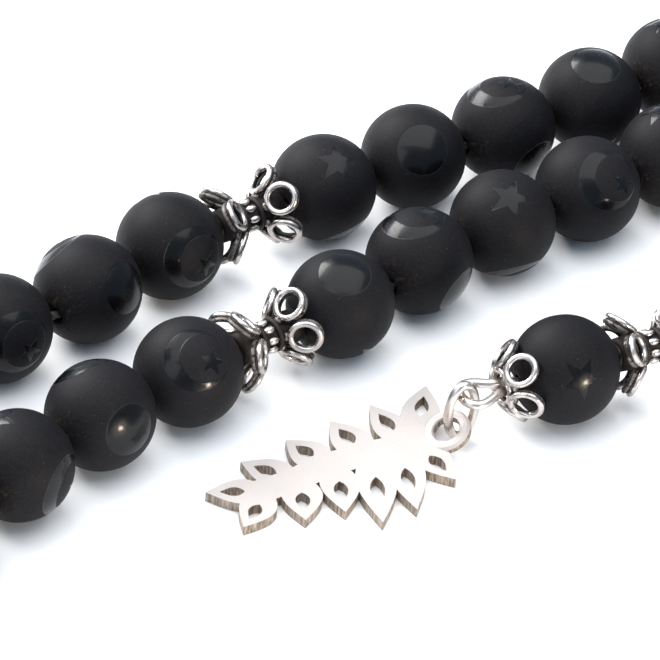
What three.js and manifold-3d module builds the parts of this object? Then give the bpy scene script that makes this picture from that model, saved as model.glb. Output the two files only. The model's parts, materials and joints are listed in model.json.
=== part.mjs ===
// Misbaha: thirty-three stone beads on one knotted cord, with flower-shaped silver bead caps,
// a stone leader, and a two-bead tail that ends in a cut-out silver pendant.
// Millimetres, +Z up, laid out on a table whose top is z = 0.

import * as THREE from 'three'
import { mergeVertices } from 'three/addons/utils/BufferGeometryUtils.js'
import Module from 'manifold-3d'

// ---------------------------------------------------------------- driving dimensions

const BEAD_D = 10.0            // stone bead
const BEAD_GAP = 0.1           // free play between neighbouring beads
const BORE_R = 1.0             // bead bore
const PITCH = BEAD_D + BEAD_GAP
const BEAD_R = BEAD_D / 2

const CORD_R = 0.45            // stringing cord
const CLEARANCE = 0.3          // gap wherever two pieces meet

const CAP_WALL = 0.65          // thickness of a cap's petals
const PETALS = 5
const PETAL_LENGTH = 3.4
const SPREAD_LEAN = 47         // degrees a separator's petals lean away from square to the cord
const BELL_LEAN = 50           // the same for an end cap's petals
const CORE_LENGTH = 6.8        // separator's core, from bead to bead less the clearances
const CORE_R = 1.85
const SEPARATOR_HOP = BEAD_D + 2 * CLEARANCE + CORE_LENGTH

const NECK_TIP = BEAD_R + 1.7  // outer end of an end cap's collar, from the bead's centre
const NECK_BORE_R = 1.35

const LEADER_D = 11.0          // barrel that gathers the two cord ends
const LEADER_LENGTH = 16.0
const LEADER_BORE_R = 1.6
const LEADER_END_R = 3.4
const KNOT_R = 1.75

const WIRE_R = 0.45            // eye pin and rings
const EYE_LENGTH = 3.7         // eye, from the collar to the wire's centre at its far end
const EYE_HALF_WIDTH = 1.45
const PENDANT_RING_HALF_WIDTH = 1.35

const PENDANT_THICKNESS = 1.0
const LUG_R = 2.25
const LUG_HOLE_R = 1.25
const LUG_TILT = 27            // degrees the lug is bent up, so that the ring passes under it

// ---------------------------------------------------------------- materials

const stone = () => new THREE.MeshStandardMaterial({ color: 0x2b2b2d, roughness: 0.62, metalness: 0 })
const nylon = () => new THREE.MeshStandardMaterial({ color: 0x17171a, roughness: 0.8, metalness: 0 })
const silver = () => new THREE.MeshStandardMaterial({ color: 0xd9cec8, roughness: 0.32, metalness: 1 })
const satin = () => new THREE.MeshStandardMaterial({ color: 0xe8dfda, roughness: 0.55, metalness: 0.9 })

// ---------------------------------------------------------------- helpers

const wasm = await Module()
wasm.setup()

const rad = (degrees) => degrees * Math.PI / 180
const group = new THREE.Group()

function solid(geometry) {
  const source = geometry.clone()
  source.deleteAttribute('normal')
  source.deleteAttribute('uv')
  const merged = mergeVertices(source, 1e-5)
  const mesh = new wasm.Mesh({
    numProp: 3,
    vertProperties: new Float32Array(merged.attributes.position.array),
    triVerts: new Uint32Array(merged.index.array),
  })
  return new wasm.Manifold(mesh)
}

function geometryOf(manifold) {
  const mesh = manifold.getMesh()
  const geometry = new THREE.BufferGeometry()
  geometry.setAttribute('position', new THREE.BufferAttribute(new Float32Array(mesh.vertProperties), 3))
  geometry.setIndex(new THREE.BufferAttribute(new Uint32Array(mesh.triVerts), 1))
  geometry.computeVertexNormals()
  return geometry
}

function union(geometries) {
  return geometries.map(solid).reduce((sum, next) => sum.add(next))
}

function addPart(name, geometry, material) {
  const mesh = new THREE.Mesh(geometry, material)
  mesh.name = name
  group.add(mesh)
  return mesh
}

// A closed profile of [radius, height] pairs turned about Z.
function turned(profile, segments) {
  const points = profile.map(([r, z]) => new THREE.Vector2(r, z))
  if (THREE.ShapeUtils.area(points) < 0) points.reverse()
  points.push(points[0].clone())
  const geometry = new THREE.LatheGeometry(points, segments)
  geometry.rotateX(Math.PI / 2)
  return geometry
}

// A straight prism along +Z from z0 to z1 over a closed outline.
function prism(outline, z0, z1, hole = null) {
  const shape = new THREE.Shape(outline.map(([x, y]) => new THREE.Vector2(x, y)))
  if (hole) shape.holes.push(new THREE.Path(hole.map(([x, y]) => new THREE.Vector2(x, y))))
  const geometry = new THREE.ExtrudeGeometry(shape, { depth: z1 - z0, bevelEnabled: false, steps: 1 })
  geometry.translate(0, 0, z0)
  return geometry
}

function ellipse(cx, cy, rx, ry, count) {
  const outline = []
  for (let i = 0; i < count; i++) {
    const a = 2 * Math.PI * i / count
    outline.push([cx + rx * Math.cos(a), cy + ry * Math.sin(a)])
  }
  return outline
}

// A curve that visits its vertices exactly, one per step, so that it is straight inside each bore.
class VertexCurve extends THREE.Curve {
  constructor(vertices) {
    super()
    this.vertices = vertices
  }

  getPoint(t, target = new THREE.Vector3()) {
    const last = this.vertices.length - 1
    const x = Math.min(Math.max(t, 0), 1) * last
    const i = Math.min(Math.floor(x), last - 1)
    return target.lerpVectors(this.vertices[i], this.vertices[i + 1], x - i)
  }

  getUtoTmapping(u) {
    return u
  }

  getTangent(t, target = new THREE.Vector3()) {
    const last = this.vertices.length - 1
    const i = Math.round(Math.min(Math.max(t, 0), 1) * last)
    const before = this.vertices[Math.max(i - 1, 0)]
    const after = this.vertices[Math.min(i + 1, last)]
    return target.subVectors(after, before).normalize()
  }

  getTangentAt(u, target) {
    return this.getTangent(u, target)
  }
}

function wire(vertices, radius, sides = 6) {
  const corners = ellipse(0, 0, radius, radius, sides).map(([x, y]) => new THREE.Vector2(x, y))
  const circle = new THREE.Shape(corners)
  const options = { steps: vertices.length - 1, bevelEnabled: false, extrudePath: new VertexCurve(vertices) }
  return new THREE.ExtrudeGeometry(circle, options)
}

// A closed ring of wire whose centre line is an ellipse in the local XZ plane.
function ring(halfWidth, halfHeight, radius, steps = 16) {
  class Oval extends THREE.Curve {
    getPoint(t, target = new THREE.Vector3()) {
      const a = 2 * Math.PI * t
      return target.set(halfWidth * Math.cos(a), 0, halfHeight * Math.sin(a))
    }
  }
  return new THREE.TubeGeometry(new Oval(), steps, radius, 6, true)
}

// Turns a geometry's +Z onto a level heading and moves its origin to a point.
function lay(geometry, heading, at) {
  geometry.rotateY(Math.PI / 2)
  geometry.rotateZ(rad(heading))
  geometry.translate(at.x, at.y, at.z)
  return geometry
}

const direction = (heading) => new THREE.Vector3(Math.cos(rad(heading)), Math.sin(rad(heading)), 0)
const along = (from, heading, distance) => from.clone().addScaledVector(direction(heading), distance)

// ---------------------------------------------------------------- stone beads

function beadGeometry() {
  const edge = Math.asin(BORE_R / BEAD_R)
  const profile = []
  const rings = 6
  for (let i = 0; i <= rings; i++) {
    const a = edge + (Math.PI - 2 * edge) * i / rings
    profile.push([BEAD_R * Math.sin(a), BEAD_R * Math.cos(a)])
  }
  return turned(profile, 12)
}

// ---------------------------------------------------------------- flower caps

// Five pierced petals round Z. They lean so that their tips point toward +Z, or -Z for a negative lean.
function petalRing(lean, innerR, z, halfLength, halfWidth) {
  const petals = []
  const outline = ellipse(0, 0, halfLength, halfWidth, 10)
  const eye = ellipse(0, 0, halfLength * 0.5, halfWidth * 0.5, 6)
  for (let i = 0; i < PETALS; i++) {
    const petal = lean > 0
      ? prism(outline, -CAP_WALL * 0.4, CAP_WALL, eye)
      : prism(outline, -CAP_WALL * 0.4, CAP_WALL * 0.8, eye)
    petal.rotateY(-rad(lean))
    petal.translate(innerR + halfLength * Math.cos(rad(lean)), 0, z)
    petal.rotateZ(2 * Math.PI * i / PETALS)
    petals.push(petal)
  }
  return petals
}

// Two spread flowers back to back on a grained core; its centre is the origin.
function separatorGeometry() {
  const end = CORE_LENGTH / 2
  const core = turned([
    [BORE_R, -end], [CORE_R * 0.9, -end], [CORE_R * 0.9, -end * 0.65], [CORE_R * 0.78, -end * 0.38],
    [CORE_R, -end * 0.16], [CORE_R, end * 0.16], [CORE_R * 0.78, end * 0.38],
    [CORE_R * 0.9, end * 0.65], [CORE_R * 0.9, end], [BORE_R, end],
  ], 10)
  const half = PETAL_LENGTH / 2
  const upper = petalRing(SPREAD_LEAN, CORE_R * 0.8, end * 0.78, half, half * 0.97)
  const lower = petalRing(SPREAD_LEAN, CORE_R * 0.8, end * 0.78, half, half * 0.97)
  lower.forEach((petal) => petal.rotateX(Math.PI))
  return geometryOf(union([core, ...upper, ...lower]))
}

// A bell of petals with a short collar for the ends of a run, over the +Z pole of a bead at the origin.
function endCapGeometry() {
  const base = BEAD_R + 1.3 * CLEARANCE
  const half = PETAL_LENGTH / 2
  const neck = turned([
    [NECK_BORE_R, base], [NECK_BORE_R + 0.55, base], [NECK_BORE_R + 0.55, NECK_TIP], [NECK_BORE_R, NECK_TIP],
  ], 10)
  const middle = NECK_TIP - 0.15 - half * Math.sin(rad(BELL_LEAN))
  const petals = petalRing(-BELL_LEAN, NECK_BORE_R + 0.15, middle, half, half * 0.92)
  const bore = turned([[0, 0], [NECK_BORE_R, 0], [NECK_BORE_R, NECK_TIP + 1], [0, NECK_TIP + 1]], 10)
  return geometryOf(union([neck, ...petals]).subtract(solid(bore)))
}

// ---------------------------------------------------------------- where the strands lie

// Headings, in degrees, from each bead of the loop to the next one, as the string lies on the table.
const FIRST_SECTION = [7, 2, -1, -1, 3, 6, -12, -42, -76, -112]
const LOOP_SECTION = [184, 190, 194, 155, 90, 38, 1, -10, 2, 7]
const LAST_SECTION = [-4, -6, -4, -2, 11, 9, -12, -38, -62, -84]

// The last bead hangs over a straight run of bare cord, along which it can be counted off.
const SLACK_HEADING = -98
const STRAIGHT_SLACK = 1.75 * PITCH

const beadZ = BEAD_R
const anchor = new THREE.Vector3(-1.42 * PITCH, 0.2 * PITCH, beadZ)

function walk(start, headings, hop) {
  const places = [start]
  for (const heading of headings) places.push(along(places[places.length - 1], heading, hop))
  return places
}

const loopBeads = walk(anchor, LOOP_SECTION, PITCH)
const lastStart = along(loopBeads[loopBeads.length - 1], -1.3, SEPARATOR_HOP)
const lastBeads = walk(lastStart, LAST_SECTION, PITCH)
const firstEnd = along(anchor, 1.6, SEPARATOR_HOP)
const firstBeads = walk(firstEnd, FIRST_SECTION, PITCH).reverse()

const string = [...firstBeads, 'separator_1', ...loopBeads, 'separator_2', ...lastBeads]

// ---------------------------------------------------------------- tail and leader stations

// The tail runs on one straight axis; stations are distances from its first bead.
const TAIL_HEADING = -10.2
const tailStart = new THREE.Vector3(1.45 * PITCH, -1.565 * PITCH, beadZ)
const station = (s, z = beadZ) => along(tailStart, TAIL_HEADING, s).setZ(z)

const eyeEnd = NECK_TIP + EYE_LENGTH
const tailSecond = SEPARATOR_HOP
const rightEye = tailSecond + eyeEnd
const bight = rightEye + 2 * WIRE_R + 0.4
const knotStation = bight + 4.2
const leaderZ = LEADER_D / 2
const leaderCapInset = 2.45
const leaderLeft = knotStation + KNOT_R + CLEARANCE + leaderCapInset
const leaderMiddle = leaderLeft + LEADER_LENGTH / 2
const mouth = leaderLeft + LEADER_LENGTH + leaderCapInset

// ---------------------------------------------------------------- beads and separators on the cord

const cordVertices = []
const sideways = direction(TAIL_HEADING + 90)
const runOffset = 0.6

function leaderRun(side) {
  const stops = [knotStation, leaderLeft - leaderCapInset + 1, leaderMiddle, mouth]
  return stops.map((s) => station(s, leaderZ).addScaledVector(sideways, side * runOffset))
}

cordVertices.push(...leaderRun(1))

const holdHalf = BEAD_R - 0.25
const mouthPoint = station(mouth + 2, leaderZ)
const lastBead = lastBeads[lastBeads.length - 1]
const slack = [
  along(lastBead, SLACK_HEADING, STRAIGHT_SLACK),
  ...[[8.82, -3.05, 0.56], [8.35, -3.22, 0.20], [7.85, -3.13, 0.30], [7.5, -2.87, 0.80]].map(([x, y, z]) => {
    return new THREE.Vector3(x * PITCH, y * PITCH, z * beadZ)
  }),
]

// Everything threaded on the cord, in order: its centre, its direction and half its straight bore.
const threaded = []
let beadNumber = 0
string.forEach((item, i) => {
  if (typeof item === 'string') {
    const [before, after] = [string[i - 1], string[i + 1]]
    const centre = before.clone().add(after).multiplyScalar(0.5)
    threaded.push({ name: item, centre, axis: after.clone().sub(before).normalize(), half: CORE_LENGTH / 2 })
    return
  }
  beadNumber += 1
  threaded.push({ name: 'bead_' + String(beadNumber).padStart(2, '0'), centre: item, half: holdHalf })
})

// Each bead settles along the middle of the two ways the cord leaves it.
const mouthOf = (one, side) => one.centre.clone().addScaledVector(one.axis, side * one.half)
const beads = threaded.filter((one) => one.name.startsWith('bead_'))
beads.forEach((bead) => {
  const i = threaded.indexOf(bead)
  const before = i > 0 ? threaded[i - 1].centre : mouthPoint
  const after = i + 1 < threaded.length ? threaded[i + 1].centre : slack[0]
  bead.axis = after.clone().sub(before).setZ(0).normalize()
})
beads[beads.length - 1].axis = direction(SLACK_HEADING)
for (let round = 0; round < 30; round++) {
  beads.slice(0, -1).forEach((bead) => {
    const i = threaded.indexOf(bead)
    const before = i > 0 ? mouthOf(threaded[i - 1], 1) : mouthPoint
    const after = mouthOf(threaded[i + 1], -1)
    const arriving = mouthOf(bead, -1).sub(before).setZ(0).normalize()
    const leaving = after.sub(mouthOf(bead, 1)).setZ(0).normalize()
    bead.axis = bead.axis.clone().multiplyScalar(4).add(arriving).add(leaving).normalize()
  })
}

threaded.forEach((one) => {
  const heading = Math.atan2(one.axis.y, one.axis.x) * 180 / Math.PI
  const isBead = beads.includes(one)
  const geometry = isBead ? beadGeometry() : separatorGeometry()
  const part = addPart(one.name, lay(geometry, heading, one.centre), isBead ? stone() : silver())
  part.userData.axis = one.axis
  cordVertices.push(mouthOf(one, -1), mouthOf(one, 1))
})

cordVertices.push(...slack)
cordVertices.push(...leaderRun(-1).reverse())

// ---------------------------------------------------------------- stringing cord with its knot

const knotCentre = station(knotStation, leaderZ)
const knot = new THREE.SphereGeometry(KNOT_R, 10, 7)
knot.translate(knotCentre.x, knotCentre.y, knotCentre.z)

// Small bight beyond the knot that holds the linking ring.
const bightVertices = []
const bightHalfWidth = EYE_HALF_WIDTH
for (let i = 0; i <= 12; i++) {
  const a = Math.PI * (0.12 + 1.76 * i / 12)
  const reach = (knotStation - bight) / 2
  const s = knotStation - reach + reach * Math.cos(a)
  bightVertices.push(station(s, leaderZ).addScaledVector(sideways, bightHalfWidth * Math.sin(a)))
}
const bightEnds = [knotCentre.clone(), ...bightVertices, knotCentre.clone()]
bightEnds[0].addScaledVector(sideways, 0.3)
bightEnds[bightEnds.length - 1].addScaledVector(sideways, -0.3)

const cord = union([wire(cordVertices, CORD_R), wire(bightEnds, CORD_R), knot])
addPart('stringing_cord', geometryOf(cord), nylon())

// ---------------------------------------------------------------- leader and its caps

const flat = LEADER_LENGTH / 2
addPart('leader', lay(turned([
  [LEADER_BORE_R, -flat], [LEADER_END_R, -flat], [LEADER_D * 0.43, -flat * 0.6], [LEADER_D / 2, -flat * 0.15],
  [LEADER_D / 2, flat * 0.15], [LEADER_D * 0.43, flat * 0.6], [LEADER_END_R, flat], [LEADER_BORE_R, flat],
], 16), TAIL_HEADING, station(leaderMiddle, leaderZ)), stone())

// A leader cap is a flat-backed flower: a disc of petals with a collar.
function leaderCapGeometry() {
  const disc = LEADER_END_R + 0.3
  const petals = []
  for (let i = 0; i < PETALS; i++) {
    const outline = ellipse(disc - 1.35, 0, 1.35, 1.3, 12)
    petals.push(prism(outline, CLEARANCE, CLEARANCE + 0.8).rotateZ(2 * Math.PI * i / PETALS))
  }
  const hub = NECK_BORE_R + 0.75
  const top = leaderCapInset
  petals.push(turned([
    [NECK_BORE_R, CLEARANCE], [hub, CLEARANCE], [hub, CLEARANCE + 0.8], [NECK_BORE_R + 0.55, 1.2],
    [NECK_BORE_R + 0.55, top], [NECK_BORE_R, top],
  ], 20))
  const bore = turned([[0, -1], [NECK_BORE_R, -1], [NECK_BORE_R, top + 1], [0, top + 1]], 20)
  return geometryOf(union(petals).subtract(solid(bore)))
}

addPart('leader_cap_tail', lay(leaderCapGeometry(), TAIL_HEADING + 180, station(leaderLeft, leaderZ)), silver())
addPart('leader_cap_mouth', lay(leaderCapGeometry(), TAIL_HEADING,
  station(leaderLeft + LEADER_LENGTH, leaderZ)), silver())

// ---------------------------------------------------------------- linking ring

const linkRingR = (bight - rightEye) / 2 + 1.25
const linkMiddle = station((bight + rightEye) / 2, (beadZ + leaderZ) / 2)
addPart('linking_ring', ring(linkRingR, linkRingR, WIRE_R).rotateZ(rad(TAIL_HEADING))
  .translate(linkMiddle.x, linkMiddle.y, linkMiddle.z), silver())

// ---------------------------------------------------------------- eye pin and tail

// Half of the eye's outline beyond a collar: distance out from the collar's tip, and half width.
const eyeShape = [[-0.9, 0.62], [0.3, 0.66], [1.3, 1.15], [2.2, EYE_HALF_WIDTH], [3.1, 1.15], [3.58, 0.6]]

function eyeVertices(tip, outward) {
  const side = (list, sign) => list.map(([d, w]) => {
    return station(tip + outward * d * EYE_LENGTH / 3.7).addScaledVector(sideways, sign * w)
  })
  const end = [station(tip + outward * EYE_LENGTH)]
  return [...side(eyeShape, 1), ...end, ...side([...eyeShape].reverse(), -1)]
}

const pinLeft = [station(-BEAD_R - 0.3), station(-BEAD_R + 0.6)]
const pinRight = [station(tailSecond + BEAD_R - 0.6), station(tailSecond + BEAD_R + 0.3)]
const pinVertices = [
  ...eyeVertices(-NECK_TIP, -1), ...pinLeft, station(0), station(tailSecond / 2), station(tailSecond),
  ...pinRight, ...eyeVertices(tailSecond + NECK_TIP, 1),
]
addPart('eye_pin', wire(pinVertices, WIRE_R), silver())

addPart('tail_bead_1', lay(beadGeometry(), TAIL_HEADING, station(0)), stone())
addPart('tail_bead_2', lay(beadGeometry(), TAIL_HEADING, station(tailSecond)), stone())
addPart('tail_separator', lay(separatorGeometry(), TAIL_HEADING, station(tailSecond / 2)), silver())
addPart('tail_cap_pendant', lay(endCapGeometry(), TAIL_HEADING + 180, station(0)), silver())
addPart('tail_cap_leader', lay(endCapGeometry(), TAIL_HEADING, station(tailSecond)), silver())

// ---------------------------------------------------------------- pendant ring

const ringBottom = WIRE_R + 0.05
const ringTop = beadZ + 2 * WIRE_R + 0.45
const pendantRingMiddle = station(-eyeEnd, (ringBottom + ringTop) / 2)
addPart('pendant_ring', ring(PENDANT_RING_HALF_WIDTH, (ringTop - ringBottom) / 2, WIRE_R)
  .rotateZ(rad(TAIL_HEADING)).translate(pendantRingMiddle.x, pendantRingMiddle.y, pendantRingMiddle.z), silver())

// ---------------------------------------------------------------- pendant

// A pointed leaf from its base to its tip.
function leaf([x0, y0], [x1, y1], width) {
  const outline = []
  const steps = 4
  const dx = x1 - x0
  const dy = y1 - y0
  const length = Math.hypot(dx, dy)
  for (const side of [1, -1]) {
    for (let i = 0; i < steps; i++) {
      const t = side > 0 ? i / steps : 1 - i / steps
      const w = side * width / 2 * Math.sin(Math.PI * Math.pow(t, 0.8))
      outline.push([x0 + dx * t - dy / length * w, y0 + dy * t + dx / length * w])
    }
  }
  return outline
}

// Leaves of the vine: base, tip and width, measured from the centre of the lug.
const LEAVES = [
  [[-18.6, 0.2], [-23.8, 2.4], 3.3], [[-18.6, 0.2], [-23.0, -3.1], 3.3],
  [[-15.6, 0.2], [-19.0, 4.7], 3.7], [[-15.2, 0.8], [-17.6, -4.6], 3.7],
  [[-12.0, 0.8], [-13.9, 5.6], 3.8], [[-11.4, 1.0], [-13.9, -5.2], 3.6],
  [[-7.6, 1.2], [-11.6, -7.8], 3.7], [[-5.0, 1.0], [-8.0, -7.6], 3.5],
  [[-8.2, 0.4], [-9.0, 6.2], 3.8], [[-4.2, 0.2], [-4.6, 6.6], 3.4],
  [[-2.9, 1.2], [1.4, 6.8], 3.6], [[-3.6, 0.6], [-2.8, -5.6], 3.6],
]
const STEM = [[-21.0, 0.3], [-16.5, 0.5], [-11.0, 1.1], [-5.5, 0.7], [-1.9, 0.0]]
const STEM_HALF = 1.5

function pendantGeometry() {
  const bodies = []
  const eyes = []
  LEAVES.forEach(([base, tip, width]) => {
    bodies.push(prism(leaf(base, tip, width), 0, PENDANT_THICKNESS))
    const mix = (t) => [base[0] + (tip[0] - base[0]) * t, base[1] + (tip[1] - base[1]) * t]
    eyes.push(prism(leaf(mix(0.38), mix(0.78), width * 0.36), -1, PENDANT_THICKNESS + 1))
  })
  const upper = STEM.map(([x, y]) => [x, y + STEM_HALF])
  const lower = STEM.map(([x, y]) => [x, y - STEM_HALF]).reverse()
  bodies.push(prism([...upper, ...lower], 0, PENDANT_THICKNESS))
  const rim = turned([[LUG_HOLE_R, 0], [LUG_R, 0], [LUG_R, 0.95], [LUG_HOLE_R, 0.95]], 14)
  const hole = turned([[0, -2], [LUG_HOLE_R, -2], [LUG_HOLE_R, 4], [0, 4]], 14)
  for (const piece of [rim, hole]) {
    piece.translate(LUG_R, 0, 0)
    piece.rotateY(rad(-LUG_TILT))
    piece.translate(-LUG_R, 0, 0)
  }
  const plate = union(bodies).subtract(union(eyes)).subtract(solid(hole))
  return geometryOf(plate.add(solid(rim)))
}

const PENDANT_HEADING = -7.1
const lugCentre = station(-eyeEnd + 0.4 - LUG_HOLE_R, 0)
addPart('pendant', pendantGeometry().rotateZ(rad(PENDANT_HEADING))
  .translate(lugCentre.x, lugCentre.y, 0), satin())

// ---------------------------------------------------------------- origin under the middle of the object

const box = new THREE.Box3()
group.children.forEach((mesh) => {
  mesh.geometry.computeBoundingBox()
  box.union(mesh.geometry.boundingBox)
})
const middle = box.getCenter(new THREE.Vector3())
group.children.forEach((mesh) => mesh.geometry.translate(-middle.x, -middle.y, -box.min.z))
group.name = 'misbaha'
group.userData.shift = [-middle.x, -middle.y, -box.min.z]
group.userData.tail = { start: tailStart, heading: TAIL_HEADING, rightEye, bight, eyeEnd, mouth, leaderZ, beadZ }

export default group
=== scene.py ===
import json
import math
import random

import bmesh
import bpy
from mathutils import Matrix, Vector


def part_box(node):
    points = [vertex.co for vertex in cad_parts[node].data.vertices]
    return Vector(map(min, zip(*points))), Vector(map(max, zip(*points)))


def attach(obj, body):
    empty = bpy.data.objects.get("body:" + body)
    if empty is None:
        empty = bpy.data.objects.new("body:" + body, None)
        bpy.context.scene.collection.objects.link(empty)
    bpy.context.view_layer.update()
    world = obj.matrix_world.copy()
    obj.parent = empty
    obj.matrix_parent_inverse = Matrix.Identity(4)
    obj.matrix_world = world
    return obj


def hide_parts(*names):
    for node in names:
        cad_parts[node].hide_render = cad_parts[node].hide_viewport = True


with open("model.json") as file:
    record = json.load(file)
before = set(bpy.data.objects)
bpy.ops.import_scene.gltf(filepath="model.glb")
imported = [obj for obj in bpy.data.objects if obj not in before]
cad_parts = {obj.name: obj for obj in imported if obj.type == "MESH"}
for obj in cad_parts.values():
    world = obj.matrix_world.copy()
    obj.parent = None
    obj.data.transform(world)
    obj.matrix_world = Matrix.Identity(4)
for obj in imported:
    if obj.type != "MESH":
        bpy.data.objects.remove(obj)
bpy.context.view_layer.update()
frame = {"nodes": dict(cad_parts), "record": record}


# --- Stone beads -------------------------------------------------------------------------
# Balls of black onyx, tumbled to a frosted skin, each with a drilled bore that the cord runs
# through. A star, a crescent and a disc are polished into the frosting round each bead.
MM = 0.001
joints = {joint["name"]: joint for joint in frame["record"]["behaviour"]["joints"]}
UP = Vector((0, 0, 1))
BEAD_RADIUS = 5.0 * MM
BORE_RADIUS = 0.72 * MM
MOUTH_FLARE = 1.25      # how much wider the bore opens at the bead's skin
BEAD_RINGS = 40
BEAD_STEPS = 72
MERGE = 1e-7            # points of a turned shape nearer than this are one point
WELD = 2e-6             # and points of wire or of the pendant's plate
STAR_SIZE = 2.1         # sizes of the motifs, in millimetres across the bead from its middle
CRESCENT_SIZE = 2.9
CRESCENT_BITE = 2.2
LITTLE_STAR_SIZE = 1.25
DISC_SIZE = 2.4
MOTIF_TURN = 2 * math.pi / 3


class Socket:
    """A shader value that arithmetic can be written with."""

    def __init__(self, material, socket):
        self.material = material
        self.socket = socket

    def math(self, operation, *values):
        return node(self.material, "ShaderNodeMath", {"operation": operation}, list(values))

    def __add__(self, other):
        return self.math("ADD", self, other)

    def __radd__(self, other):
        return self.math("ADD", other, self)

    def __sub__(self, other):
        return self.math("SUBTRACT", self, other)

    def __rsub__(self, other):
        return self.math("SUBTRACT", other, self)

    def __mul__(self, other):
        return self.math("MULTIPLY", self, other)

    def __rmul__(self, other):
        return self.math("MULTIPLY", other, self)

    def __truediv__(self, other):
        return self.math("DIVIDE", self, other)

    def __rtruediv__(self, other):
        return self.math("DIVIDE", other, self)

    def ramp(self, low, high):
        """0 below low, 1 above high, smooth between; low may be the larger."""
        settings = {"interpolation_type": "SMOOTHSTEP"}
        names = {"Value": self, "From Min": low, "From Max": high}
        return node(self.material, "ShaderNodeMapRange", settings, names)

    def most(self, other):
        return self.math("MAXIMUM", self, other)

    def size(self):
        return self.math("ABSOLUTE", self)

    def root(self):
        return self.math("SQRT", self)

    def part(self):
        return self.math("FRACT", self)

    def cosine(self):
        return self.math("COSINE", self)

    def sine(self):
        return self.math("SINE", self)


def node(material, kind, settings, inputs, output=0):
    """Adds one node, sets it, fills its sockets with values or links, and gives back an output."""
    made = material.node_tree.nodes.new(kind)
    for name, value in settings.items():
        setattr(made, name, value)
    pairs = enumerate(inputs) if isinstance(inputs, list) else inputs.items()
    for key, value in pairs:
        if isinstance(value, Socket):
            material.node_tree.links.new(value.socket, made.inputs[key])
        else:
            made.inputs[key].default_value = value
    return Socket(material, made.outputs[output])


def new_material(name, **constants):
    """A material with its shader's own sockets set, and that shader."""
    material = bpy.data.materials.new(name)
    material.use_nodes = True
    shader = material.node_tree.nodes["Principled BSDF"]
    for key, value in constants.items():
        shader.inputs[key.replace("_", " ")].default_value = value
    return material, shader


def feed(material, shader, **links):
    for key, value in links.items():
        material.node_tree.links.new(value.socket, shader.inputs[key.replace("_", " ")])


def mix(material, amount, first, second):
    """A colour between two, by amount."""
    made = material.node_tree.nodes.new("ShaderNodeMix")
    made.data_type = "RGBA"
    for index, value in ((0, amount), (6, first), (7, second)):
        if isinstance(value, Socket):
            material.node_tree.links.new(value.socket, made.inputs[index])
        else:
            made.inputs[index].default_value = value if index == 0 else (*value, 1.0)
    return Socket(material, made.outputs[2])


def noise(material, place, scale, detail=3.0, roughness=0.55):
    inputs = {"Vector": place, "Scale": scale, "Detail": detail, "Roughness": roughness}
    return node(material, "ShaderNodeTexNoise", {}, inputs)


def bump(material, height, strength, distance):
    inputs = {"Height": height, "Strength": strength, "Distance": distance}
    return node(material, "ShaderNodeBump", {}, inputs)


def object_place(material):
    return node(material, "ShaderNodeTexCoord", {}, [], output="Object")


def attribute(material, name, output="Fac"):
    return node(material, "ShaderNodeAttribute", {"attribute_name": name}, [], output=output)


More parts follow.
